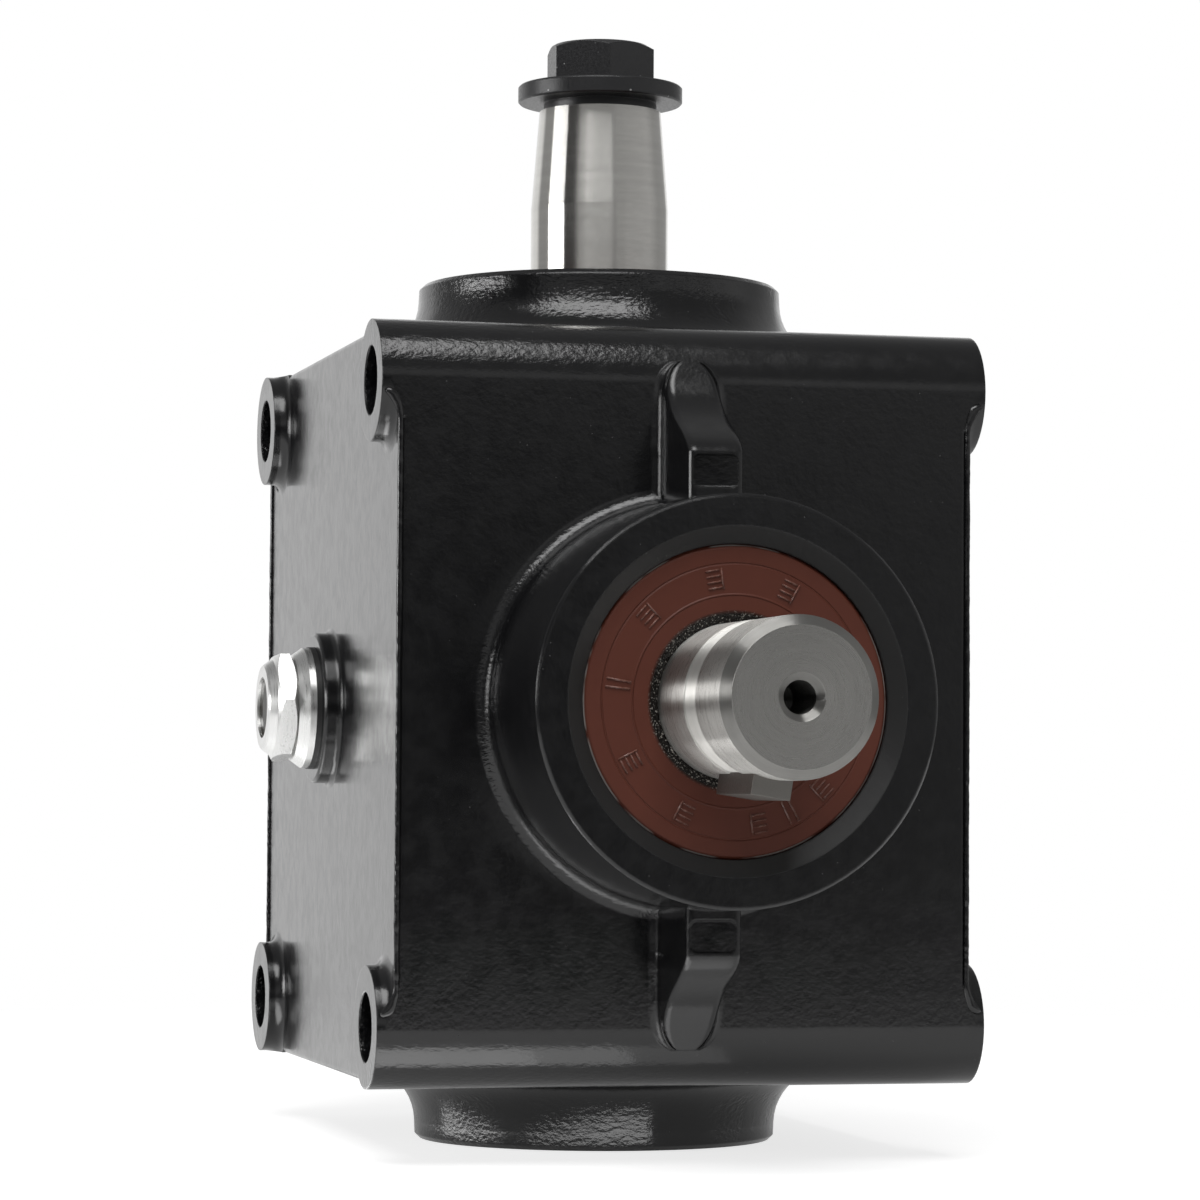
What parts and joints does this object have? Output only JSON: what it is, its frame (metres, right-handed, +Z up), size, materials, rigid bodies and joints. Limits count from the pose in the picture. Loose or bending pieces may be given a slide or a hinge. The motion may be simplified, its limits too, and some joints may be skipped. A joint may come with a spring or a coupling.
{
  "type": "right-angle gearbox",
  "caption": "Right-angle bevel gearbox for a mower deck: black cast box with corner bolt tubes, keyed input shaft through a brown oil seal, tapered output shaft with bolt and washer.",
  "frame": {"origin": "where the two shaft axes cross, at the centre of the square bolt pattern", "axes": "+Z up along the output shaft towards its bolt, -Y along the input shaft towards its keyed end, +X along the bolt tubes away from the sight plug"},
  "size_m": [0.1138, 0.1963, 0.1986],
  "materials": {
    "cast_paint": "satin black paint over casting",
    "ground_steel": "fine turned",
    "key_steel": "plain",
    "gear_steel": "machined",
    "spring_steel": "dull",
    "bearing_steel": "ground",
    "cage_steel": "pressed",
    "black_steel": "black oxide",
    "seal_rubber": "matt brown",
    "cap_rubber": "matt black",
    "plug_rubber": "matt black",
    "bright_plug": "bright turned",
    "sight_window": "clear"
  },
  "bodies": {
    "box": {"bottom_end_cap": "cap_rubber", "gear_shim": "spring_steel", "housing": "cast_paint", "input_circlip": "spring_steel", "input_front_outer_ring": "bearing_steel", "input_outer_spacer": "gear_steel", "input_rear_outer_ring": "bearing_steel", "input_seal": "seal_rubber", "input_seal_spring": "spring_steel", "output_bottom_circlip": "spring_steel", "output_bottom_outer_ring": "bearing_steel", "output_seal": "seal_rubber", "output_seal_spring": "spring_steel", "output_top_circlip": "spring_steel", "output_top_outer_ring": "bearing_steel", "sight_glass": "sight_window", "sight_plug_body": "bright_plug", "sight_plug_seal": "plug_rubber", "sight_reflector": "bright_plug"},
    "output": {"output_shaft": "ground_steel", "crown_gear": "gear_steel", "gear_key": "key_steel", "gear_spacer": "gear_steel", "shaft_circlip": "spring_steel", "blade_washer": "black_steel", "blade_bolt": "black_steel", "output_top_inner_ring": "bearing_steel", "output_bottom_inner_ring": "bearing_steel"},
    "input": {"input_shaft": "ground_steel", "input_key": "key_steel", "pinion": "gear_steel", "pinion_key": "key_steel", "pinion_circlip": "spring_steel", "input_inner_spacer": "gear_steel", "input_rear_inner_ring": "bearing_steel", "input_front_inner_ring": "bearing_steel"},
    "output_top_roller_set": {"output_top_rollers": "bearing_steel", "output_top_cage": "cage_steel"},
    "output_bottom_roller_set": {"output_bottom_rollers": "bearing_steel", "output_bottom_cage": "cage_steel"},
    "input_rear_roller_set": {"input_rear_rollers": "bearing_steel", "input_rear_cage": "cage_steel"},
    "input_front_roller_set": {"input_front_rollers": "bearing_steel", "input_front_cage": "cage_steel"}
  },
  "joints": [
    {"name": "output_spin", "type": "hinge", "parent": "box", "child": "output", "pos_m": [0, 0, 0], "axis": [0, 0, 1], "continuous": true},
    {"name": "input_spin", "type": "hinge", "parent": "box", "child": "input", "pos_m": [0, 0, 0], "axis": [0, 1, 0], "continuous": true},
    {"name": "output_top_cage_spin", "type": "hinge", "parent": "box", "child": "output_top_roller_set", "pos_m": [0, 0, 0], "axis": [0, 0, 1], "continuous": true},
    {"name": "output_bottom_cage_spin", "type": "hinge", "parent": "box", "child": "output_bottom_roller_set", "pos_m": [0, 0, 0], "axis": [0, 0, 1], "continuous": true},
    {"name": "input_rear_cage_spin", "type": "hinge", "parent": "box", "child": "input_rear_roller_set", "pos_m": [0, 0, 0], "axis": [0, 1, 0], "continuous": true},
    {"name": "input_front_cage_spin", "type": "hinge", "parent": "box", "child": "input_front_roller_set", "pos_m": [0, 0, 0], "axis": [0, 1, 0], "continuous": true}
  ],
  "couplings": [
    {"joint": "input_spin", "follows": "output_spin", "ratio": -1},
    {"joint": "output_top_cage_spin", "follows": "output_spin", "ratio": 0.42176},
    {"joint": "output_bottom_cage_spin", "follows": "output_spin", "ratio": 0.42176},
    {"joint": "input_rear_cage_spin", "follows": "output_spin", "ratio": -0.4316},
    {"joint": "input_front_cage_spin", "follows": "output_spin", "ratio": -0.4316}
  ]
}
